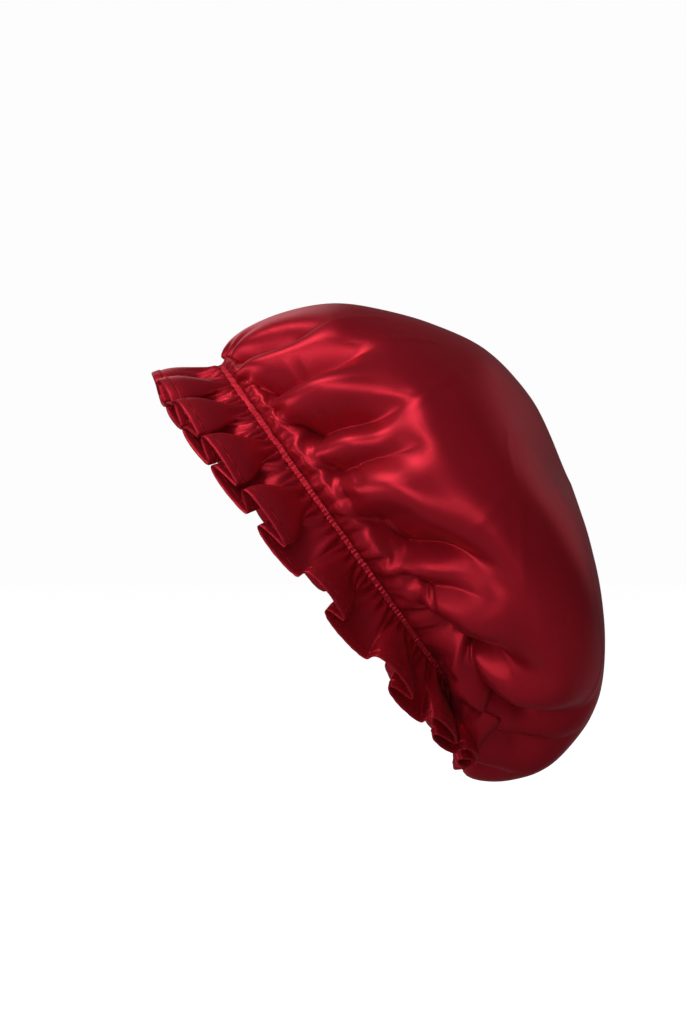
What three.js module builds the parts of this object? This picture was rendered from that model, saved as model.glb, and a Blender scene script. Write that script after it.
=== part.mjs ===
// Satin sleep bonnet, worn: a large puffed crown gathered onto an elastic casing, with a fluted ruffle
// and its folded hem below the casing. Millimetres, +Z up, the wearer faces -Y and +X is their left.
// The origin is the centre of the casing loop, where a head carries the bonnet.
import * as THREE from "three";

const { cos, sin, exp, abs, max, PI } = Math;
const DEGREE = PI / 180;

// The casing loop: an oval that climbs from the nape to the hairline.
const BAND_TILT = 54.4; // degrees from level, front edge up
const BAND_HALF_WIDTH = 77; // ear side to ear side
const BAND_HALF_LENGTH = 103; // hairline to nape
const GAP = 0.3; // between neighbouring pieces

const CASING = { height: 8, thickness: 3, pucker: 0.5, puckers: 36, steps: 144 };

// The crown's cloth from the casing to its top. Each row is one level section: how far it stands out from
// the loop's centre and how far it rises above the loop, at the front, at the sides and at the back.
const CROWN_SECTIONS = [
  { share: 0.0, frontOut: 104, frontUp: 4.5, sideOut: 78, sideUp: 4.5, backOut: 104, backUp: 4.5 },
  { share: 0.05, frontOut: 112, frontUp: 5, sideOut: 86, sideUp: 7, backOut: 113, backUp: 3 },
  { share: 0.12, frontOut: 117, frontUp: 18, sideOut: 95, sideUp: 14, backOut: 124, backUp: -9 },
  { share: 0.2, frontOut: 110, frontUp: 40, sideOut: 101.5, sideUp: 28, backOut: 134, backUp: -17 },
  { share: 0.3, frontOut: 96, frontUp: 61.5, sideOut: 105, sideUp: 46, backOut: 148.5, backUp: -4 },
  { share: 0.4, frontOut: 80, frontUp: 79, sideOut: 104, sideUp: 62, backOut: 154, backUp: 21 },
  { share: 0.52, frontOut: 58.5, frontUp: 96.5, sideOut: 95, sideUp: 79, backOut: 144.5, backUp: 49 },
  { share: 0.65, frontOut: 32.5, frontUp: 111, sideOut: 76, sideUp: 93, backOut: 121, backUp: 72 },
  { share: 0.8, frontOut: -2, frontUp: 115, sideOut: 47, sideUp: 102.5, backOut: 90, backUp: 89 },
  { share: 1.0, frontOut: -47, frontUp: 107, sideOut: 0, sideUp: 107, backOut: 47, backUp: 107 },
];
const BACK_SAG_POWER = 2.6; // keeps the sag below the nape close to the middle of the back
const CROWN = { wall: 1.2, columns: 96, rows: [0, 0.03, 0.07, 0.12, 0.17, 0.23, 0.3, 0.38, 0.48, 0.6, 0.74, 0.9] };

// The main folds run from the casing into the puff. Angles go round the loop from the front (0) past the
// wearer's left (90) and the nape (180); tip is the share of the crown's cloth where the fold dies out.
const CROWN_FOLDS = [
  { name: "left temple top", at: 16, tipAt: 27, tip: 0.3, halfWidth: 7, depth: 5 },
  { name: "left temple", at: 42, tipAt: 37, tip: 0.36, halfWidth: 7, depth: 6 },
  { name: "left brow", at: 60, tipAt: 56, tip: 0.36, halfWidth: 7, depth: 6 },
  { name: "left ear front", at: 75, tipAt: 68, tip: 0.34, halfWidth: 6, depth: 5 },
  { name: "left ear", at: 88, tipAt: 88, tip: 0.24, halfWidth: 5, depth: 4 },
  { name: "left ear back", at: 97, tipAt: 103, tip: 0.34, halfWidth: 7, depth: 8 },
  { name: "left neck front", at: 111, tipAt: 112, tip: 0.3, halfWidth: 5, depth: 5 },
  { name: "left neck", at: 121, tipAt: 130, tip: 0.36, halfWidth: 7, depth: 8 },
  { name: "left swoop", at: 138, tipAt: 152, tip: 0.48, halfWidth: 7, depth: 7 },
  { name: "nape", at: 170, tipAt: 172, tip: 0.34, halfWidth: 6, depth: 4 },
  { name: "right swoop", at: 214, tipAt: 205, tip: 0.46, halfWidth: 7, depth: 6 },
  { name: "right neck", at: 234, tipAt: 228, tip: 0.36, halfWidth: 7, depth: 7 },
  { name: "right ear back", at: 256, tipAt: 254, tip: 0.34, halfWidth: 7, depth: 7 },
  { name: "right ear", at: 273, tipAt: 275, tip: 0.28, halfWidth: 6, depth: 5 },
  { name: "right brow", at: 291, tipAt: 297, tip: 0.36, halfWidth: 7, depth: 6 },
  { name: "right temple", at: 312, tipAt: 320, tip: 0.38, halfWidth: 7, depth: 6 },
  { name: "right temple top", at: 336, tipAt: 331, tip: 0.3, halfWidth: 7, depth: 5 },
];

// The ruffle leaves the casing at a flare angle measured from straight down the loop's axis.
const RUFFLE = { width: 27, wall: 1, flutes: 22, depth: 7.5, sway: 2.5, steps: 132, rows: [0, 0.3, 0.64, 1] };
const RUFFLE_FLARE = [
  { at: 0, flare: 30 },
  { at: 90, flare: 44 },
  { at: 140, flare: 66 },
  { at: 180, flare: 50 },
];
const RUFFLE_ROOT = CASING.height / 2 + GAP + RUFFLE.wall / 2; // below the loop's middle
const HEM = { width: 5, thickness: 2 };

const SATIN_RED = 0x9c1426;
const CASING_RED = 0x86101f;
const HEM_RED = 0x8f1223;

function satin(color) {
  return new THREE.MeshStandardMaterial({ color, roughness: 0.35, metalness: 0 });
}

function clamp01(t) {
  return Math.min(1, Math.max(0, t));
}

function smoothStep(t) {
  const u = clamp01(t);
  return u * u * (3 - 2 * u);
}

// A smooth curve through one column of a table, read at x; key names the table's own running column.
function readTable(table, key, column, x) {
  const last = table.length - 1;
  let i = 0;
  while (i < last - 1 && table[i + 1][key] < x) i += 1;
  const slope = (j) => {
    const before = table[Math.max(0, j - 1)];
    const after = table[Math.min(last, j + 1)];
    return (after[column] - before[column]) / (after[key] - before[key]);
  };
  const step = table[i + 1][key] - table[i][key];
  const t = clamp01((x - table[i][key]) / step);
  const start = (2 * t ** 3 - 3 * t ** 2 + 1) * table[i][column] + (t ** 3 - 2 * t ** 2 + t) * step * slope(i);
  const end = (3 * t ** 2 - 2 * t ** 3) * table[i + 1][column] + (t ** 3 - t ** 2) * step * slope(i + 1);
  return start + end;
}

function closedMesh(positions, indices) {
  const geometry = new THREE.BufferGeometry();
  geometry.setAttribute("position", new THREE.Float32BufferAttribute(positions, 3));
  geometry.setIndex(indices);
  geometry.computeVertexNormals();
  return geometry;
}

// A closed ring of cloth or cord: rings of points that each run once round the loop, the last one
// joined to the first. The rings go down the inside and come back up the outside.
function skinOfRings(rings) {
  const columns = rings[0].length;
  const positions = [];
  const indices = [];
  for (const ring of rings) {
    for (const point of ring) positions.push(point.x, point.y, point.z);
  }
  for (let row = 0; row < rings.length; row += 1) {
    const nextRow = (row + 1) % rings.length;
    for (let column = 0; column < columns; column += 1) {
      const nextColumn = (column + 1) % columns;
      const a = row * columns + column;
      const b = row * columns + nextColumn;
      const c = nextRow * columns + nextColumn;
      const d = nextRow * columns + column;
      indices.push(a, b, c, a, c, d);
    }
  }
  return closedMesh(positions, indices);
}

// ---- crown ----

// A point of the crown's outer face before its folds, at an angle round the loop and a share of its cloth.
function crownForm(angle, share) {
  const read = (column) => readTable(CROWN_SECTIONS, "share", column, share);
  const front = read("frontOut");
  const back = read("backOut");
  const c = cos(angle);
  const sideUp = read("sideUp");
  const lift = c > 0 ? (read("frontUp") - sideUp) * c ** 2 : (read("backUp") - sideUp) * abs(c) ** BACK_SAG_POWER;
  return new THREE.Vector3(read("sideOut") * sin(angle), (back - front) / 2 - ((back + front) / 2) * c, sideUp + lift);
}

function outwardNormal(surface, angle, share) {
  const step = 1e-3;
  const inside = Math.min(share, 1 - 2 * step);
  const round = surface(angle + step, inside).sub(surface(angle - step, inside));
  const up = surface(angle, inside + step).sub(surface(angle, max(0, inside - step)));
  return round.cross(up).normalize();
}

// How far the folds press the cloth in, in mm.
function foldDepth(angle, share) {
  let depth = 0;
  for (const fold of CROWN_FOLDS) {
    const along = clamp01(share / fold.tip);
    const centre = fold.at + (fold.tipAt - fold.at) * along;
    const turn = ((((angle / DEGREE - centre) % 360) + 540) % 360) - 180;
    const across = exp(-((turn / fold.halfWidth) ** 2));
    const rise = smoothStep(share / (0.45 * fold.tip));
    const fall = 1 - smoothStep((along - 0.55) / 0.45);
    depth += fold.depth * across * rise * fall;
  }
  return depth;
}

function crownSurface(angle, share) {
  const point = crownForm(angle, share);
  return point.addScaledVector(outwardNormal(crownForm, angle, share), -foldDepth(angle, share));
}

// One skin of the crown: a row of points for each share below the top, then the top point.
function crownSkin(inset) {
  const { columns, rows } = CROWN;
  return rows.map((share) =>
    Array.from({ length: columns }, (_, column) => {
      const angle = (2 * PI * column) / columns;
      const normal = outwardNormal(crownSurface, angle, share);
      if (share === 0) normal.setZ(0).normalize();
      return crownSurface(angle, share).addScaledVector(normal, -inset);
    }),
  );
}

// The inner skin runs down from its top, the outer skin back up to its own, so both tops are poles.
function crownGeometry() {
  const top = crownForm(0, 1);
  const rings = [...crownSkin(CROWN.wall).reverse(), ...crownSkin(0)];
  const columns = CROWN.columns;
  const positions = rings.flat().flatMap((point) => point.toArray());
  const innerTop = positions.length / 3;
  const outerTop = innerTop + 1;
  positions.push(top.x, top.y, top.z - CROWN.wall, top.x, top.y, top.z);
  const indices = [];
  for (let column = 0; column < columns; column += 1) {
    const next = (column + 1) % columns;
    const lastRow = (rings.length - 1) * columns;
    indices.push(innerTop, next, column);
    indices.push(outerTop, lastRow + column, lastRow + next);
    for (let row = 0; row < rings.length - 1; row += 1) {
      const low = row * columns;
      const high = low + columns;
      indices.push(low + column, low + next, high + next, low + column, high + next, high + column);
    }
  }
  return closedMesh(positions, indices);
}

// ---- casing, ruffle and hem ----

function loopPoint(angle, out, up) {
  return new THREE.Vector3((BAND_HALF_WIDTH + out) * sin(angle), -(BAND_HALF_LENGTH + out) * cos(angle), up);
}

function casingGeometry() {
  const { height, thickness, pucker, puckers, steps } = CASING;
  const section = [
    { out: -thickness / 2, up: height / 2, swell: 0 },
    { out: -thickness / 2, up: -height / 2, swell: 0 },
    { out: thickness / 2 - 0.6, up: -height / 2, swell: 0 },
    { out: thickness / 2, up: -height / 4, swell: 1 },
    { out: thickness / 2, up: height / 4, swell: 1 },
    { out: thickness / 2 - 0.6, up: height / 2, swell: 0 },
  ];
  const rings = section.map(({ out, up, swell }) =>
    Array.from({ length: steps }, (_, step) => {
      const angle = (2 * PI * step) / steps;
      return loopPoint(angle, out + swell * pucker * cos(puckers * angle), up);
    }),
  );
  return skinOfRings(rings);
}

function flareAt(angle) {
  const turn = angle > PI ? 2 * PI - angle : angle;
  return readTable(RUFFLE_FLARE, "at", "flare", turn / DEGREE) * DEGREE;
}

// Flutes wander a little round the loop, so that no two are quite alike.
function flutePhase(angle) {
  return RUFFLE.flutes * angle + 0.6 * sin(3 * angle) + 0.4 * sin(5 * angle + 1);
}

// A point of the ruffle: along is the distance from its root, lift the distance off its middle surface.
function rufflePoint(angle, along, lift) {
  const flare = flareAt(angle);
  const phase = flutePhase(angle);
  const growth = smoothStep(along / (0.9 * RUFFLE.width));
  const wave = RUFFLE.depth * growth * cos(phase) + lift;
  const swayAngle = (RUFFLE.sway * growth * sin(2 * phase)) / BAND_HALF_LENGTH;
  const out = along * sin(flare) + wave * cos(flare);
  const up = -RUFFLE_ROOT - along * cos(flare) + wave * sin(flare);
  return loopPoint(angle + swayAngle, out, up);
}

// A ring of cloth between two distances from the ruffle's root.
function ruffleStrip(distances, wall) {
  const ringAt = (along, lift) =>
    Array.from({ length: RUFFLE.steps }, (_, step) => rufflePoint((2 * PI * step) / RUFFLE.steps, along, lift));
  const inner = distances.map((along) => ringAt(along, -wall / 2));
  const outer = distances.map((along) => ringAt(along, wall / 2)).reverse();
  return skinOfRings([...inner, ...outer]);
}

function ruffleGeometry() {
  return ruffleStrip(RUFFLE.rows.map((share) => share * RUFFLE.width), RUFFLE.wall);
}

function hemGeometry() {
  const start = RUFFLE.width + GAP;
  return ruffleStrip([start, start + HEM.width], HEM.thickness);
}

// ---- assembly ----

function piece(name, geometry, color) {
  const mesh = new THREE.Mesh(geometry, satin(color));
  mesh.name = name;
  return mesh;
}

const onBand = new THREE.Group();
onBand.rotation.x = -BAND_TILT * DEGREE;
onBand.add(piece("crown", crownGeometry(), SATIN_RED));
onBand.add(piece("elastic_casing", casingGeometry(), CASING_RED));
onBand.add(piece("ruffle", ruffleGeometry(), SATIN_RED));
onBand.add(piece("ruffle_hem", hemGeometry(), HEM_RED));

const bonnet = new THREE.Group();
bonnet.add(onBand);

export default bonnet;
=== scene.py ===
"""A satin sleep bonnet in its worn form: a puffed crown gathered onto a shirred elastic casing,
and below the casing a fluted ruffle with a stitched hem. Everything rides on one body."""

import math

import bmesh
import bpy
import numpy as np
from mathutils import Matrix, Vector


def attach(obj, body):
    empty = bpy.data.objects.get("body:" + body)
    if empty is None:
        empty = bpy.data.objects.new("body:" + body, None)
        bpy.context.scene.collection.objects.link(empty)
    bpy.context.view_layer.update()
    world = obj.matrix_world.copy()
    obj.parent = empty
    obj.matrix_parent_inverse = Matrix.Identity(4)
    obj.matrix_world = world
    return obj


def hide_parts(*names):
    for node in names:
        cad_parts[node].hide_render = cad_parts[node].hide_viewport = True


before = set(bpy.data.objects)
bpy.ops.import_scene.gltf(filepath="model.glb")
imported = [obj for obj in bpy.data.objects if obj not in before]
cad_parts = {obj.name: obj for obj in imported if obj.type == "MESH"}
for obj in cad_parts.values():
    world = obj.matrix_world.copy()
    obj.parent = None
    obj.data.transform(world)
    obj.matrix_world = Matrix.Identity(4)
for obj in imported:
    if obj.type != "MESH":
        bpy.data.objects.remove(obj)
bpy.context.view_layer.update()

MM = 0.001

# ---- the casing's loop and the two frames ----
# Pieces are shaped in the loop's own frame, in mm: x across, l from hairline to nape, n out of the
# loop towards the crown. The loop is then tilted into the row frame.

BAND_TILT = math.radians(54.4)
BAND_HALF_WIDTH = 77.0
BAND_HALF_LENGTH = 103.0
CASING_HALF_HEIGHT = 1.9


def to_row_frame(points):
    """Loop-frame millimetres, as an array of x, l, n, to row-frame metres."""
    x, l, n = points[:, 0], points[:, 1], points[:, 2]
    y = l * math.cos(BAND_TILT) + n * math.sin(BAND_TILT)
    z = -l * math.sin(BAND_TILT) + n * math.cos(BAND_TILT)
    return np.stack([x, y, z], axis=1) * MM


def smooth_step(low, high, value):
    t = np.clip((value - low) / (high - low), 0.0, 1.0)
    return t * t * (3.0 - 2.0 * t)


def read_table(rows, key, column, value):
    """A smooth curve through one column of a table, read at an array of values of its key column."""
    xs = np.array([row[key] for row in rows], dtype=float)
    ys = np.array([row[column] for row in rows], dtype=float)
    slopes = np.empty_like(ys)
    slopes[1:-1] = (ys[2:] - ys[:-2]) / (xs[2:] - xs[:-2])
    slopes[0] = (ys[1] - ys[0]) / (xs[1] - xs[0])
    slopes[-1] = (ys[-1] - ys[-2]) / (xs[-1] - xs[-2])
    value = np.clip(value, xs[0], xs[-1])
    i = np.clip(np.searchsorted(xs, value, side="right") - 1, 0, len(xs) - 2)
    step = xs[i + 1] - xs[i]
    t = (value - xs[i]) / step
    start = (2 * t**3 - 3 * t**2 + 1) * ys[i] + (t**3 - 2 * t**2 + t) * step * slopes[i]
    end = (3 * t**2 - 2 * t**3) * ys[i + 1] + (t**3 - t**2) * step * slopes[i + 1]
    return start + end


def turn_from(angle, centre):
    """Signed difference of two angles in degrees, from -180 to 180."""
    return (angle - centre + 180.0) % 360.0 - 180.0


# ---- crown ----

# Level sections of the crown, from the casing (share 0) to the top (share 1): how far each stands out
# from the loop's centre and how far it rises, at the front, the sides and the back.
CROWN_SECTIONS = [
    dict(share=0.00, front_out=103, front_up=1.4, side_out=77, side_up=1.4, back_out=103, back_up=1.4),
    dict(share=0.05, front_out=108, front_up=4, side_out=85, side_up=3.5, back_out=113, back_up=1.5),
    dict(share=0.12, front_out=110, front_up=17, side_out=93.5, side_up=12, back_out=124, back_up=-9),
    dict(share=0.20, front_out=106, front_up=38, side_out=100, side_up=28, back_out=134, back_up=-17),
    dict(share=0.30, front_out=96, front_up=61.5, side_out=105, side_up=46, back_out=148.5, back_up=-4),
    dict(share=0.40, front_out=80, front_up=79, side_out=104, side_up=62, back_out=154, back_up=21),
    dict(share=0.52, front_out=58.5, front_up=96.5, side_out=95, side_up=79, back_out=144.5, back_up=49),
    dict(share=0.65, front_out=32.5, front_up=111, side_out=76, side_up=90, back_out=121, back_up=72),
    dict(share=0.80, front_out=-2, front_up=115, side_out=47, side_up=98.5, back_out=90, back_up=89),
    dict(share=1.00, front_out=-47, front_up=107, side_out=0, side_up=107, back_out=47, back_up=107),
]
BACK_SAG_POWER = 2.1

# Folds that press the cloth in, from the casing into the puff. Angles go round the loop from the
# front (0) past the wearer's left (90) and the nape (180). start and tip are shares of the crown.
# root_mm and tip_mm are half widths; bend bows the fold's path; sharp 1 is a crease, 2 is round.
FOLD_COLUMNS = ("name", "at", "tip_at", "bend", "start", "tip", "root_mm", "tip_mm", "depth", "sharp")
FOLDS = [
    ("temple_top", 14, 27, 5, 0.0, 0.30, 4, 6, 9, 1.3),
    ("temple", 42, 35, 3, 0.0, 0.40, 5, 8, 12, 1.4),
    ("brow", 60, 55, 2, 0.0, 0.42, 6, 9, 16, 1.4),
    ("ear_front", 75, 67, 1, 0.0, 0.39, 5, 8, 12, 1.4),
    ("ear_small", 82, 81, 0, 0.0, 0.17, 3, 4, 5, 1.3),
    ("ear", 90, 87, 0, 0.0, 0.26, 4, 6, 9, 1.3),
    ("ear_back", 96, 103, -2, 0.0, 0.38, 6, 9, 17, 1.4),
    ("neck_front", 110, 110, -2, 0.0, 0.31, 4, 7, 11, 1.3),
    ("neck_small", 115, 118, 0, 0.0, 0.22, 3, 5, 6, 1.3),
    ("neck", 121, 131, 0, 0.0, 0.42, 6, 10, 19, 1.4),
    ("swoop", 131, 156, 4, 0.1, 0.54, 6, 10, 19, 1.3),
    ("under_swoop", 142, 168, 3, 0.08, 0.5, 5, 9, 14, 1.3),
    ("nape_left", 162, 172, 0, 0.05, 0.36, 4, 7, 7, 1.3),
    ("nape_right", 195, 188, 0, 0.0, 0.38, 5, 8, 8, 1.3),
    ("far_under_swoop", 211, 198, 0, 0.05, 0.48, 5, 9, 12, 1.3),
    ("far_swoop", 228, 211, -2, 0.05, 0.48, 6, 9, 14, 1.3),
    ("far_neck", 241, 236, 0, 0.0, 0.40, 5, 9, 15, 1.4),
    ("far_neck_small", 250, 249, 0, 0.0, 0.24, 4, 6, 7, 1.3),
    ("far_ear_back", 261, 257, 0, 0.0, 0.39, 5, 9, 15, 1.4),
    ("far_ear", 275, 278, 0, 0.0, 0.32, 4, 8, 11, 1.4),
    ("far_ear_small", 284, 285, 0, 0.0, 0.18, 3, 5, 6, 1.3),
    ("far_brow", 296, 302, 0, 0.0, 0.41, 5, 8, 14, 1.4),
    ("far_temple", 314, 323, 0, 0.0, 0.41, 5, 8, 12, 1.4),
    ("far_temple_small", 328, 330, 0, 0.0, 0.22, 4, 6, 7, 1.3),
    ("far_temple_top", 344, 335, -3, 0.0, 0.33, 4, 7, 9, 1.3),
    ("front", 359, 4, 0, 0.0, 0.2, 4, 5, 5, 1.3),
]

# Broad soft swells and hollows of the puff, in mm, each a round patch.
SWELL_COLUMNS = ("name", "at", "share", "reach_mm", "height")
SWELLS = [
    ("temple_puff", 30, 0.24, 18, 3),
    ("brow_puff", 50, 0.22, 17, 4),
    ("ear_front_puff", 67, 0.2, 15, 4),
    ("ear_puff", 82, 0.22, 15, 4),
    ("neck_puff", 106, 0.16, 12, 3),
    ("back_puff", 116, 0.24, 14, 4),
    ("side_swell", 85, 0.42, 24, 2),
    ("back_swell", 128, 0.42, 22, 2),
    ("far_puff", 306, 0.24, 20, 4),
    ("far_ear_puff", 267, 0.22, 16, 4),
    ("far_neck_puff", 245, 0.24, 15, 4),
    ("far_hollow", 285, 0.48, 28, -1),
    ("far_back_hollow", 235, 0.5, 28, -1),
]

# Fine pressed lines left by folding, as paths of angle and share.
CREASE_PATHS = [
    [(41, 0.13), (39, 0.21), (36, 0.285), (33, 0.4), (29, 0.5)],
    [(31.5, 0.21), (28, 0.29), (20, 0.395)],
    [(44, 0.53), (50.5, 0.455), (54, 0.375), (53.5, 0.3)],
    [(54, 0.425), (65, 0.27)],
    [(82.5, 0.475), (95, 0.27)],
    [(63, 0.61), (98.5, 0.41), (107.5, 0.36)],
    [(110.5, 0.39), (133, 0.325)],
    [(84.5, 0.75), (113.5, 0.67), (129.5, 0.585), (143.5, 0.58), (150, 0.495), (160, 0.455)],
    [(300, 0.55), (262, 0.45), (248, 0.36)],
    [(325, 0.6), (318, 0.4), (312, 0.3)],
    [(205, 0.7), (215, 0.52), (228, 0.42)],
]
FOLD_SKIRT = 1.8  # how many half widths the soft sides of a fold reach
FOLD_GAIN = 1.35  # deepens every fold alike
PUFF_HEIGHT = 3.0  # mean swell just above the casing, least at the front
CREASE_HEIGHT = 0.3
CREASE_HALF_WIDTH = 1.6

CROWN_MEAN_ARC = 215.0  # casing to top along the cloth, in mm
CROWN_GRID = 200  # squares along each side of the crown's mesh
SLACK_SEED = 3
SLACK_WAVES = 14
SLACK_HEIGHT = 0.3
PUCKER_COUNT = 170
PUCKER_SEED = 11


def crown_form(angle, share):
    """Points of the crown before its folds; angle in radians round the loop."""
    def read(column):
        return read_table(CROWN_SECTIONS, "share", column, share)

    front, back, side_up = read("front_out"), read("back_out"), read("side_up")
    c = np.cos(angle)
    front_lift = (read("front_up") - side_up) * c**2
    back_lift = (read("back_up") - side_up) * np.abs(c) ** BACK_SAG_POWER
    x = read("side_out") * np.sin(angle)
    l = (back - front) / 2 - (back + front) / 2 * c
    return np.stack([x, l, side_up + np.where(c > 0, front_lift, back_lift)], axis=1)


def surface_normals(surface, angle, share):
    step = 1e-3
    inside = np.clip(share, step, 1 - 2 * step)
    around = surface(angle + step, inside) - surface(angle - step, inside)
    upward = surface(angle, inside + step) - surface(angle, inside - step)
    normal = np.cross(around, upward)
    return normal / np.linalg.norm(normal, axis=1)[:, None]


def loop_radius(angle):
    return np.hypot(BAND_HALF_WIDTH * np.sin(angle), BAND_HALF_LENGTH * np.cos(angle))


def across_mm(angle, centre_deg, share):
    """Distance across a fold's path in mm, at an angle and a share of the crown."""
    out = read_table(CROWN_SECTIONS, "share", "side_out", share)
    return np.radians(turn_from(np.degrees(angle), centre_deg)) * np.maximum(out, 20.0)


def fold_relief(angle, share):
    """How far the folds press the cloth in, in mm."""
    relief = np.zeros_like(share)
    for row in FOLDS:
        fold = dict(zip(FOLD_COLUMNS, row))
        along = np.clip((share - fold["start"]) / (fold["tip"] - fold["start"]), 0, 1)
        centre = fold["at"] + (fold["tip_at"] - fold["at"]) * along
        centre = centre + fold["bend"] * 4 * along * (1 - along)
        half_width = fold["root_mm"] + (fold["tip_mm"] - fold["root_mm"]) * along
        across = np.abs(across_mm(angle, centre, share)) / half_width
        core = np.exp(-(across ** fold["sharp"]))
        skirt = np.exp(-((across / FOLD_SKIRT) ** 2))
        profile = 0.55 * core + 0.45 * skirt
        rise = smooth_step(fold["start"], fold["start"] + 0.09, share)
        fall = 1 - smooth_step(0.5, 1.0, along)
        relief -= fold["depth"] * profile * rise * fall
    return FOLD_GAIN * relief


def swell_relief(angle, share):
    relief = np.zeros_like(share)
    for row in SWELLS:
        swell = dict(zip(SWELL_COLUMNS, row))
        across = across_mm(angle, swell["at"], share)
        along = (share - swell["share"]) * CROWN_MEAN_ARC
        relief += swell["height"] * np.exp(-(across**2 + along**2) / swell["reach_mm"] ** 2)
    return relief


def pucker_relief(angle, share):
    """Short gathers of the cloth where it is sewn to the casing."""
    rng = np.random.default_rng(PUCKER_SEED)
    degrees = np.degrees(angle)
    relief = np.zeros_like(share)
    centres = (np.arange(PUCKER_COUNT) + rng.uniform(-0.35, 0.35, PUCKER_COUNT)) * 360 / PUCKER_COUNT
    lengths = 0.035 + 0.2 * rng.random(PUCKER_COUNT) ** 3
    depths = rng.uniform(0.9, 1.9, PUCKER_COUNT) + 16 * (lengths - 0.035)
    leans = rng.uniform(-4, 4, PUCKER_COUNT)
    widths = rng.uniform(0.45, 0.8, PUCKER_COUNT) + 5 * (lengths - 0.035)
    near = share < lengths.max()
    for centre, length, depth, lean, width in zip(centres, lengths, depths, leans, widths):
        along = np.clip(share[near] / length, 0, 1)
        across = turn_from(degrees[near], centre + lean * along) / (width * (1 + 1.5 * along))
        relief[near] -= depth * np.exp(-(across**2)) * (1 - smooth_step(0.2, 1.0, along))
    return relief * smooth_step(0, 0.012, share)


def crease_relief(angle, share):
    """Fine pressed ridges along paths of angle and share."""
    relief = np.zeros_like(share)
    degrees = np.degrees(angle) % 360
    u = degrees * math.pi / 180 * 100.0
    v = share * CROWN_MEAN_ARC
    for path in CREASE_PATHS:
        nearest = np.full_like(share, 1e9)
        for (a0, s0), (a1, s1) in zip(path, path[1:]):
            start = np.array([math.radians(a0) * 100.0, s0 * CROWN_MEAN_ARC])
            end = np.array([math.radians(a1) * 100.0, s1 * CROWN_MEAN_ARC])
            run = end - start
            t = np.clip(((u - start[0]) * run[0] + (v - start[1]) * run[1]) / (run @ run), 0, 1)
            away = np.hypot(u - start[0] - t * run[0], v - start[1] - t * run[1])
            nearest = np.minimum(nearest, away)
        relief += CREASE_HEIGHT * np.exp(-((nearest / CREASE_HALF_WIDTH) ** 2))
    return relief


def slack_relief(point, share):
    """Gentle unevenness of slack cloth: a few seeded waves through space."""
    rng = np.random.default_rng(SLACK_SEED)
    relief = np.zeros_like(share)
    for _ in range(SLACK_WAVES):
        direction = rng.normal(size=3)
        direction /= np.linalg.norm(direction)
        wavelength = rng.uniform(22, 60)
        start = rng.uniform(0, 6.3)
        relief += wavelength / 60 * np.sin(2 * math.pi * (point @ direction) / wavelength + start)
    return SLACK_HEIGHT * relief / math.sqrt(SLACK_WAVES) * smooth_step(0.02, 0.15, share)


def crown_surface(angle, share):
    point = crown_form(angle, share)
    relief = fold_relief(angle, share) + swell_relief(angle, share) + slack_relief(point, share)
    puff = smooth_step(0.01, 0.1, share) * (1 - smooth_step(0.16, 0.34, share))
    relief += PUFF_HEIGHT * (0.55 - 0.45 * np.cos(angle)) * puff
    relief = relief * smooth_step(0, 0.03, share)
    relief += pucker_relief(angle, share) + crease_relief(angle, share)
    return point + surface_normals(crown_form, angle, share) * relief[:, None]


def square_to_disc(a, b):
    """Even map of a square's points to angle and radius on a disc, ring by ring."""
    radius = np.maximum(np.abs(a), np.abs(b))
    safe = np.where(radius == 0, 1, radius)
    sideways = np.abs(a) > np.abs(b)
    angle = np.where(
        sideways,
        np.where(a > 0, 0, math.pi) + math.pi / 4 * b / np.where(sideways, np.where(a == 0, 1, a), safe),
        np.where(b > 0, math.pi / 2, 3 * math.pi / 2)
        - math.pi / 4 * a / np.where(sideways, safe, np.where(b == 0, 1, b)),
    )
    return angle % (2 * math.pi), radius


def new_object(name, mesh_source):
    """A shown, smooth-shaded object from a bmesh, at the origin."""
    mesh = bpy.data.meshes.new(name)
    mesh_source.to_mesh(mesh)
    mesh_source.free()
    for polygon in mesh.polygons:
        polygon.use_smooth = True
    piece = bpy.data.objects.new(name, mesh)
    bpy.context.scene.collection.objects.link(piece)
    return piece


def place_vertices(bm, points, first=0):
    """Moves a bmesh's vertices, from the given one on, to loop-frame points."""
    for vertex, point in zip(list(bm.verts)[first:], to_row_frame(points)):
        vertex.co = point


def add_cloth_map(piece, coordinates):
    """A UV map in metres of flat cloth, so that weave follows the sheet."""
    layer = piece.data.uv_layers.new(name="cloth")
    loops = np.empty(len(piece.data.loops), dtype=np.int64)
    piece.data.loops.foreach_get("vertex_index", loops)
    layer.data.foreach_set("uv", coordinates[loops].astype(np.float32).ravel())


def solidify(piece, thickness_mm, offset):
    modifier = piece.modifiers.new("wall", "SOLIDIFY")
    modifier.thickness = thickness_mm * MM
    modifier.offset = offset
    modifier.use_even_offset = False


def make_crown():
    bm = bmesh.new()
    bmesh.ops.create_grid(bm, x_segments=CROWN_GRID, y_segments=CROWN_GRID, size=1.0)
    square = np.array([vertex.co[:2] for vertex in bm.verts])
    turn, radius = square_to_disc(square[:, 0], square[:, 1])
    share = 1.0 - np.clip(radius, 0.0, 1.0)
    flat = np.stack([radius * np.cos(turn), radius * np.sin(turn)], axis=1) * CROWN_MEAN_ARC * MM
    place_vertices(bm, crown_surface(turn, share))
    bmesh.ops.recalc_face_normals(bm, faces=bm.faces)
    piece = new_object("crown_cloth", bm)
    add_cloth_map(piece, flat)
    solidify(piece, 0.6, -1.0)
    return piece


# ---- casing ----

CASING_STEPS = 1100
CASING_SECTION_STEPS = 12
CASING_HALF_THICKNESS = 0.45
CASING_WANDER = 0.25


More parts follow.
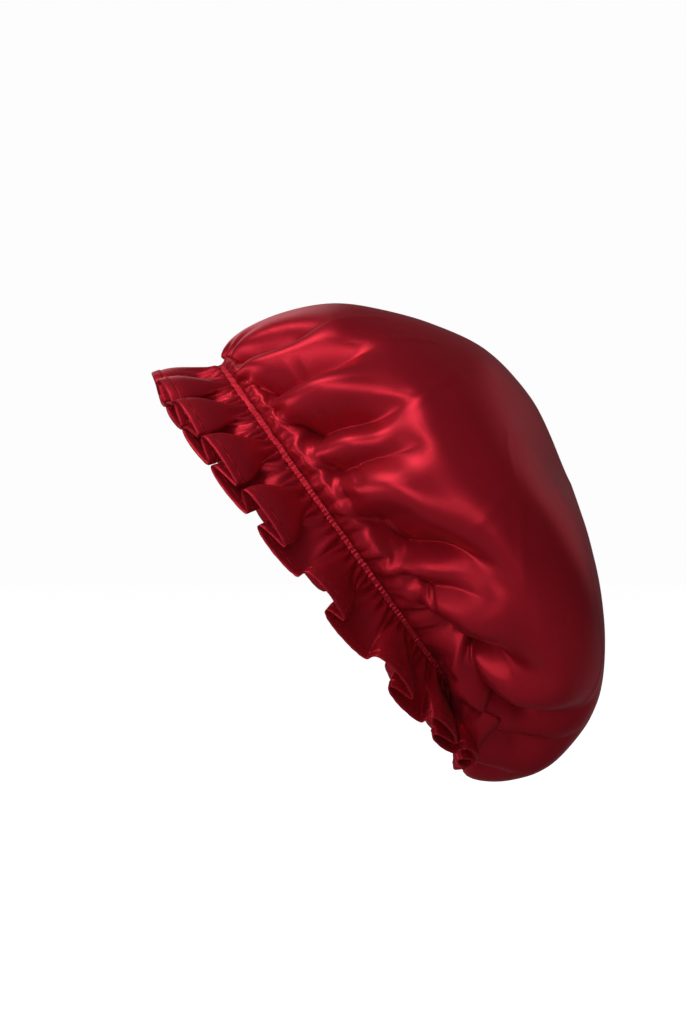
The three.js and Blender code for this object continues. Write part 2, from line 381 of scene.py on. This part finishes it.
def ring_grid(bm, steps, section_steps):
    """A grid that closes into a ring both ways: the angle and the section's turn of each vertex."""
    bmesh.ops.create_grid(bm, x_segments=steps, y_segments=section_steps, size=0.5)
    places = np.array([vertex.co[:2] for vertex in bm.verts]) + 0.5
    return places[:, 0] * 2 * math.pi, places[:, 1] * 2 * math.pi


def loop_point(angle, out, up):
    x = (BAND_HALF_WIDTH + out) * np.sin(angle)
    l = -(BAND_HALF_LENGTH + out) * np.cos(angle)
    return np.stack([x, l, up], axis=1)


def make_casing():
    bm = bmesh.new()
    angle, turn = ring_grid(bm, CASING_STEPS, CASING_SECTION_STEPS)
    outside = np.cos(turn)
    height = np.sin(turn)
    wobble = 0.7 * np.sin(11 * angle + 1) + 0.5 * np.sin(23 * angle)
    tucks = 0.35 * np.sin(263 * angle + 4 * np.sin(9 * angle) + 1.5 * height)
    tucks += 0.3 * np.sin(331 * angle + 3 * np.sin(5 * angle) - height)
    waist = -0.5 * np.exp(-((height / 0.35) ** 2)) * (outside > 0)
    out = CASING_HALF_THICKNESS * np.sign(outside) * np.abs(outside) ** 0.7
    out = out + np.where(outside > 0, (tucks + waist) * outside, 0.25 * tucks * outside)
    up = CASING_HALF_HEIGHT * np.sign(height) * np.abs(height) ** 0.8 + 0.25 * wobble * height
    up = up + CASING_WANDER * (np.sin(37 * angle) + np.sin(53 * angle + 2))
    place_vertices(bm, loop_point(angle, out, up))
    first, angle, across, up = thread_ring(bm, CASING_STITCHES)
    place_vertices(bm, loop_point(angle, CASING_HALF_THICKNESS - THREAD_SINK + up, across), first)
    bmesh.ops.remove_doubles(bm, verts=bm.verts, dist=1e-6)
    bmesh.ops.recalc_face_normals(bm, faces=bm.faces)
    return new_object("casing_cloth", bm)


# ---- ruffle and hem ----

RUFFLE_WIDTH = 29.0
RUFFLE_ROOT = 1.4
RUFFLE_STEPS = 1400
RUFFLE_ROWS = 26
HEM_WIDTH = 5.0
HEM_LAP = 1.0
RUFFLE_FLARE = [
    dict(at=0, flare=15),
    dict(at=90, flare=42),
    dict(at=140, flare=60),
    dict(at=160, flare=68),
    dict(at=180, flare=60),
]

# Each flute of the ruffle: the angle where its outward lobe stands on the loop, how deep it is and how
# far it sways sideways, in mm.
FLUTES = [
    (8, 7, 6), (28, 8, 8), (43, 8, 8), (59, 7.5, 8), (76, 7, 7), (97, 6, 4), (121, 6, 5), (141, 6, 6),
    (156, 5, 5), (171, 6, 5), (188, 5, 5), (205, 6, 6), (221, 6, 6), (238, 5, 4), (256, 5, 4),
    (274, 6, 5), (291, 6, 6), (308, 7, 7), (325, 8, 7), (345, 7, 7),
]
FLUTE_LEAN = 3.0  # how far the lobes lean over towards the nape, in mm


def flute_layout():
    """Angles where each flute starts, its depth and its sway, round the whole loop."""
    starts = np.radians([row[0] - FLUTES[0][0] for row in FLUTES] + [360.0])
    depths = np.array([row[1] for row in FLUTES], dtype=float)
    sways = np.array([row[2] for row in FLUTES], dtype=float)
    return starts, depths, sways


def flute_at(angle):
    """Phase of the flutes and their smoothly varying depth and sway."""
    starts, depths, sways = flute_layout()
    angle = (angle - math.radians(FLUTES[0][0])) % (2 * math.pi)
    i = np.clip(np.searchsorted(starts, angle, side="right") - 1, 0, len(FLUTES) - 1)
    t = (angle - starts[i]) / (starts[i + 1] - starts[i])
    blend = smooth_step(0, 1, t)
    after = (i + 1) % len(FLUTES)
    depth = depths[i] * (1 - blend) + depths[after] * blend
    sway = sways[i] * (1 - blend) + sways[after] * blend
    return 2 * math.pi * t, depth, sway


def ruffle_surface(angle, along, lift):
    """Points of the ruffle; along is the distance from its root and lift the one off its middle."""
    degrees = np.abs(turn_from(np.degrees(angle), 0))
    flare = np.radians(read_table(RUFFLE_FLARE, "at", "flare", degrees))
    phase, depth, sway = flute_at(angle)
    growth = smooth_step(0, 0.95 * RUFFLE_WIDTH, along)
    early = smooth_step(0, 0.4 * RUFFLE_WIDTH, along)
    wave = depth * growth * np.cos(phase)
    tuck_fade = np.exp(-along / 8.0) * smooth_step(0, 2.0, along)
    tucks = 1.3 * np.sin(131 * angle + 2.5 * np.sin(7 * angle) + 0.05 * along)
    tucks += 0.5 * np.sin(83 * angle + 2 * np.sin(11 * angle))
    wave = wave + tucks * tuck_fade + 1.1 * early * np.cos(3 * phase + 1.0) * (1 - 0.5 * growth)
    lean = FLUTE_LEAN * np.sign(turn_from(np.degrees(angle), 180)) * -1
    sideways = sway * np.sin(2 * phase) + lean * np.cos(phase) * smooth_step(2, 30, degrees)
    sway_angle = growth * sideways / loop_radius(angle)
    out = along * np.sin(flare) + (wave + lift) * np.cos(flare)
    up = -RUFFLE_ROOT - along * np.cos(flare) + (wave + lift) * np.sin(flare)
    return loop_point(angle + sway_angle, out, up)


def make_ruffle():
    bm = bmesh.new()
    bmesh.ops.create_grid(bm, x_segments=RUFFLE_STEPS, y_segments=RUFFLE_ROWS, size=0.5)
    places = np.array([vertex.co[:2] for vertex in bm.verts]) + 0.5
    angle = places[:, 0] * 2 * math.pi
    along = places[:, 1] * RUFFLE_WIDTH
    place_vertices(bm, ruffle_surface(angle, along, np.zeros_like(along)))
    piece = new_object("ruffle_cloth", bm)
    add_cloth_map(piece, np.stack([places[:, 0] * 1.15, along * MM], axis=1))
    weld(piece)
    solidify(piece, 0.6, 0.0)
    return piece


def weld(piece):
    bm = bmesh.new()
    bm.from_mesh(piece.data)
    bmesh.ops.remove_doubles(bm, verts=bm.verts, dist=1e-6)
    bmesh.ops.recalc_face_normals(bm, faces=bm.faces)
    bm.to_mesh(piece.data)
    bm.free()


HEM_HALF_THICKNESS = 0.65
HEM_SECTION_STEPS = 10


HEM_STITCHES = 380
CASING_STITCHES = 210
STITCH_STEPS = 8
THREAD_RADIUS = 0.22
THREAD_SINK = 0.5  # how deep the casing's thread lies
THREAD_PROUD = 0.1  # how far the hem's threads stand out
STITCH_INSET = 1.2  # from the hem's inner edge to its stitches


def thread_ring(bm, stitches):
    """One thread round the loop, thick in each stitch and drawn under between them."""
    first = len(bm.verts)
    steps = stitches * STITCH_STEPS
    bmesh.ops.create_grid(bm, x_segments=steps, y_segments=5, size=0.5)
    bm.verts.ensure_lookup_table()
    places = np.array([vertex.co[:2] for vertex in bm.verts[first:]]) + 0.5
    angle, turn = places[:, 0] * 2 * math.pi, places[:, 1] * 2 * math.pi
    rise = np.abs(np.sin(stitches * angle / 2)) ** 0.6
    radius = THREAD_RADIUS * (0.25 + 0.75 * rise)
    return first, angle, radius * np.cos(turn), radius * np.sin(turn) + 0.5 * (rise - 1)


def make_hem():
    bm = bmesh.new()
    angle, turn = ring_grid(bm, RUFFLE_STEPS, HEM_SECTION_STEPS)
    middle = RUFFLE_WIDTH - HEM_LAP + HEM_WIDTH / 2
    pucker = 0.12 * np.sin(400 * angle) + 0.1 * np.sin(233 * angle + 2 * np.sin(9 * angle))
    along = middle + HEM_WIDTH / 2 * np.sign(np.cos(turn)) * np.abs(np.cos(turn)) ** 0.6
    lift = (HEM_HALF_THICKNESS + pucker) * np.sign(np.sin(turn)) * np.abs(np.sin(turn)) ** 0.6
    place_vertices(bm, ruffle_surface(angle, along, lift))
    for side in (1, -1):
        first, angle, across, up = thread_ring(bm, HEM_STITCHES)
        along = RUFFLE_WIDTH - HEM_LAP + STITCH_INSET + across
        lift = side * (HEM_HALF_THICKNESS + THREAD_PROUD + up)
        place_vertices(bm, ruffle_surface(angle, along, lift), first)
    bmesh.ops.remove_doubles(bm, verts=bm.verts, dist=1e-6)
    bmesh.ops.recalc_face_normals(bm, faces=bm.faces)
    return new_object("hem_cloth", bm)


# ---- materials ----

SATIN_RED = (0.40, 0.012, 0.024)
SATIN_DEEP = (0.30, 0.007, 0.018)


def weave_group():
    """Fine satin weave and slight unevenness: a height for bump and a mask for colour."""
    group = bpy.data.node_groups.new("satin_weave", "ShaderNodeTree")
    group.interface.new_socket("Vector", in_out="INPUT", socket_type="NodeSocketVector")
    group.interface.new_socket("Threads per metre", in_out="INPUT", socket_type="NodeSocketFloat")
    group.interface.new_socket("Height", in_out="OUTPUT", socket_type="NodeSocketFloat")
    group.interface.new_socket("Tone", in_out="OUTPUT", socket_type="NodeSocketFloat")
    nodes, links = group.nodes, group.links
    inputs = nodes.new("NodeGroupInput")
    outputs = nodes.new("NodeGroupOutput")
    scale = nodes.new("ShaderNodeVectorMath")
    scale.operation = "SCALE"
    links.new(inputs.outputs["Vector"], scale.inputs[0])
    links.new(inputs.outputs["Threads per metre"], scale.inputs["Scale"])
    threads = nodes.new("ShaderNodeTexWave")
    threads.bands_direction = "X"
    threads.inputs["Scale"].default_value = 0.5
    threads.inputs["Distortion"].default_value = 0.6
    links.new(scale.outputs[0], threads.inputs["Vector"])
    slubs = nodes.new("ShaderNodeTexNoise")
    slubs.inputs["Scale"].default_value = 0.35
    slubs.inputs["Detail"].default_value = 3.0
    links.new(scale.outputs[0], slubs.inputs["Vector"])
    tone = nodes.new("ShaderNodeTexNoise")
    tone.inputs["Scale"].default_value = 60.0
    tone.inputs["Detail"].default_value = 4.0
    links.new(inputs.outputs["Vector"], tone.inputs["Vector"])
    both = nodes.new("ShaderNodeMath")
    both.operation = "MULTIPLY_ADD"
    both.inputs[1].default_value = 0.6
    links.new(threads.outputs["Fac"], both.inputs[0])
    links.new(slubs.outputs["Fac"], both.inputs[2])
    links.new(both.outputs[0], outputs.inputs["Height"])
    links.new(tone.outputs["Fac"], outputs.inputs["Tone"])
    return group


def satin(name, weave, base, deep, roughness, uses_cloth_map, threads=4500.0, bump=0.12):
    material = bpy.data.materials.new(name)
    material.use_nodes = True
    nodes, links = material.node_tree.nodes, material.node_tree.links
    shader = nodes["Principled BSDF"]
    shader.inputs["Metallic"].default_value = 0.55
    shader.inputs["Specular IOR Level"].default_value = 0.15
    shader.inputs["Sheen Weight"].default_value = 0.02
    shader.inputs["Sheen Roughness"].default_value = 0.35
    shader.inputs["Sheen Tint"].default_value = (1.0, 0.62, 0.66, 1.0)
    shader.inputs["Specular Tint"].default_value = (1.0, 0.42, 0.46, 1.0)
    if uses_cloth_map:
        coordinates = nodes.new("ShaderNodeUVMap")
        coordinates.uv_map = "cloth"
        vector = coordinates.outputs["UV"]
    else:
        coordinates = nodes.new("ShaderNodeTexCoord")
        vector = coordinates.outputs["Object"]
    cloth = nodes.new("ShaderNodeGroup")
    cloth.node_tree = weave
    cloth.inputs["Threads per metre"].default_value = threads
    links.new(vector, cloth.inputs["Vector"])
    colour = nodes.new("ShaderNodeMix")
    colour.data_type = "RGBA"
    colour.inputs["A"].default_value = (*deep, 1.0)
    colour.inputs["B"].default_value = (*base, 1.0)
    spread = nodes.new("ShaderNodeMapRange")
    spread.inputs["From Min"].default_value = 0.25
    spread.inputs["From Max"].default_value = 0.75
    spread.inputs["To Min"].default_value = 0.75
    spread.inputs["To Max"].default_value = 1.0
    links.new(cloth.outputs["Tone"], spread.inputs["Value"])
    links.new(spread.outputs["Result"], colour.inputs["Factor"])
    links.new(colour.outputs["Result"], shader.inputs["Base Color"])
    gloss = nodes.new("ShaderNodeMapRange")
    gloss.inputs["To Min"].default_value = roughness - 0.03
    gloss.inputs["To Max"].default_value = roughness + 0.05
    links.new(cloth.outputs["Tone"], gloss.inputs["Value"])
    links.new(gloss.outputs["Result"], shader.inputs["Roughness"])
    relief = nodes.new("ShaderNodeBump")
    relief.inputs["Strength"].default_value = bump
    relief.inputs["Distance"].default_value = 0.0001
    links.new(cloth.outputs["Height"], relief.inputs["Height"])
    links.new(relief.outputs["Normal"], shader.inputs["Normal"])
    return material


# ---- stage ----

CAMERA_DISTANCE = 1.22
CAMERA_LENS = 85.2
VIEW_CENTRE = Vector((0.0, 0.0009, 0.00875))
FLOOR_Z = -0.196


def area_light(name, place, target, size, power):
    """An area light turned so that its long side follows the casing's loop from front to nape."""
    light = bpy.data.lights.new(name, "AREA")
    light.shape = "RECTANGLE"
    light.size, light.size_y = size
    light.energy = power
    holder = bpy.data.objects.new(name, light)
    holder.location = place
    away = (Vector(place) - Vector(target)).normalized()
    loop_line = Vector((0, math.cos(BAND_TILT), -math.sin(BAND_TILT)))
    upward = (loop_line - away * loop_line.dot(away)).normalized()
    holder.rotation_euler = Matrix((upward.cross(away), upward, away)).transposed().to_euler()
    bpy.context.scene.collection.objects.link(holder)


def make_stage():
    bm = bmesh.new()
    bmesh.ops.create_grid(bm, x_segments=1, y_segments=1, size=6.0)
    bmesh.ops.translate(bm, verts=bm.verts, vec=(0, 0, FLOOR_Z))
    floor = new_object("floor", bm)
    material = bpy.data.materials.new("floor_white")
    material.use_nodes = True
    shader = material.node_tree.nodes["Principled BSDF"]
    shader.inputs["Base Color"].default_value = (0.5, 0.5, 0.5, 1.0)
    shader.inputs["Roughness"].default_value = 0.9
    shader.inputs["Specular IOR Level"].default_value = 0.0
    shader.inputs["Emission Color"].default_value = (0.93, 0.93, 0.93, 1.0)
    seen = material.node_tree.nodes.new("ShaderNodeLightPath")
    material.node_tree.links.new(seen.outputs["Is Camera Ray"], shader.inputs["Emission Strength"])
    floor.data.materials.append(material)


def make_world():
    world = bpy.data.worlds.new("studio")
    bpy.context.scene.world = world
    world.use_nodes = True
    nodes, links = world.node_tree.nodes, world.node_tree.links
    background = nodes["Background"]
    background.inputs["Color"].default_value = (1, 1, 1, 1)
    seen = nodes.new("ShaderNodeLightPath")
    strength = nodes.new("ShaderNodeMapRange")
    strength.inputs["To Min"].default_value = 0.12
    strength.inputs["To Max"].default_value = 0.98
    links.new(seen.outputs["Is Camera Ray"], strength.inputs["Value"])
    links.new(strength.outputs["Result"], background.inputs["Strength"])


def make_camera():
    camera = bpy.data.cameras.new("camera")
    camera.sensor_fit = "VERTICAL"
    camera.sensor_height = 36.0
    camera.lens = CAMERA_LENS
    camera.clip_start = 0.05
    holder = bpy.data.objects.new("camera", camera)
    holder.location = VIEW_CENTRE + Vector((CAMERA_DISTANCE, 0, 0))
    holder.rotation_euler = (math.pi / 2, 0, math.pi / 2)
    bpy.context.scene.collection.objects.link(holder)
    bpy.context.scene.camera = holder


def make_lights():
    area_light("key", (1.5, -0.42, 0.5), (0, 0, 0), (0.14, 2.2), 11)
    area_light("top", (0.35, -0.75, 1.4), (0, 0, 0), (0.5, 0.9), 10)
    area_light("front_fill", (0.5, -1.5, 0.2), (0, 0, 0), (0.9, 0.6), 6)
    area_light("back_fill", (-1.0, 1.2, 0.7), (0, 0.05, 0), (1.0, 1.0), 1.2)
    area_light("far_side", (-1.2, -0.5, 0.7), (0, 0, 0), (0.8, 0.8), 2)


# ---- assembly ----

def dress(piece, material, node):
    piece.data.materials.append(material)
    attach(piece, "root")
    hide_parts(node)


bpy.context.scene.view_settings.view_transform = "Standard"
make_camera()
make_stage()
make_world()
make_lights()

weave = weave_group()
crown = make_crown()
casing = make_casing()
ruffle = make_ruffle()
hem = make_hem()
for piece, node, finish, roughness, follows_cloth in (
    (crown, "crown", "crown_satin", 0.33, True),
    (casing, "elastic_casing", "casing_satin", 0.38, False),
    (ruffle, "ruffle", "ruffle_satin", 0.33, True),
    (hem, "ruffle_hem", "hem_satin", 0.4, False),
):
    dress(piece, satin(finish, weave, SATIN_RED, SATIN_DEEP, roughness, follows_cloth), node)
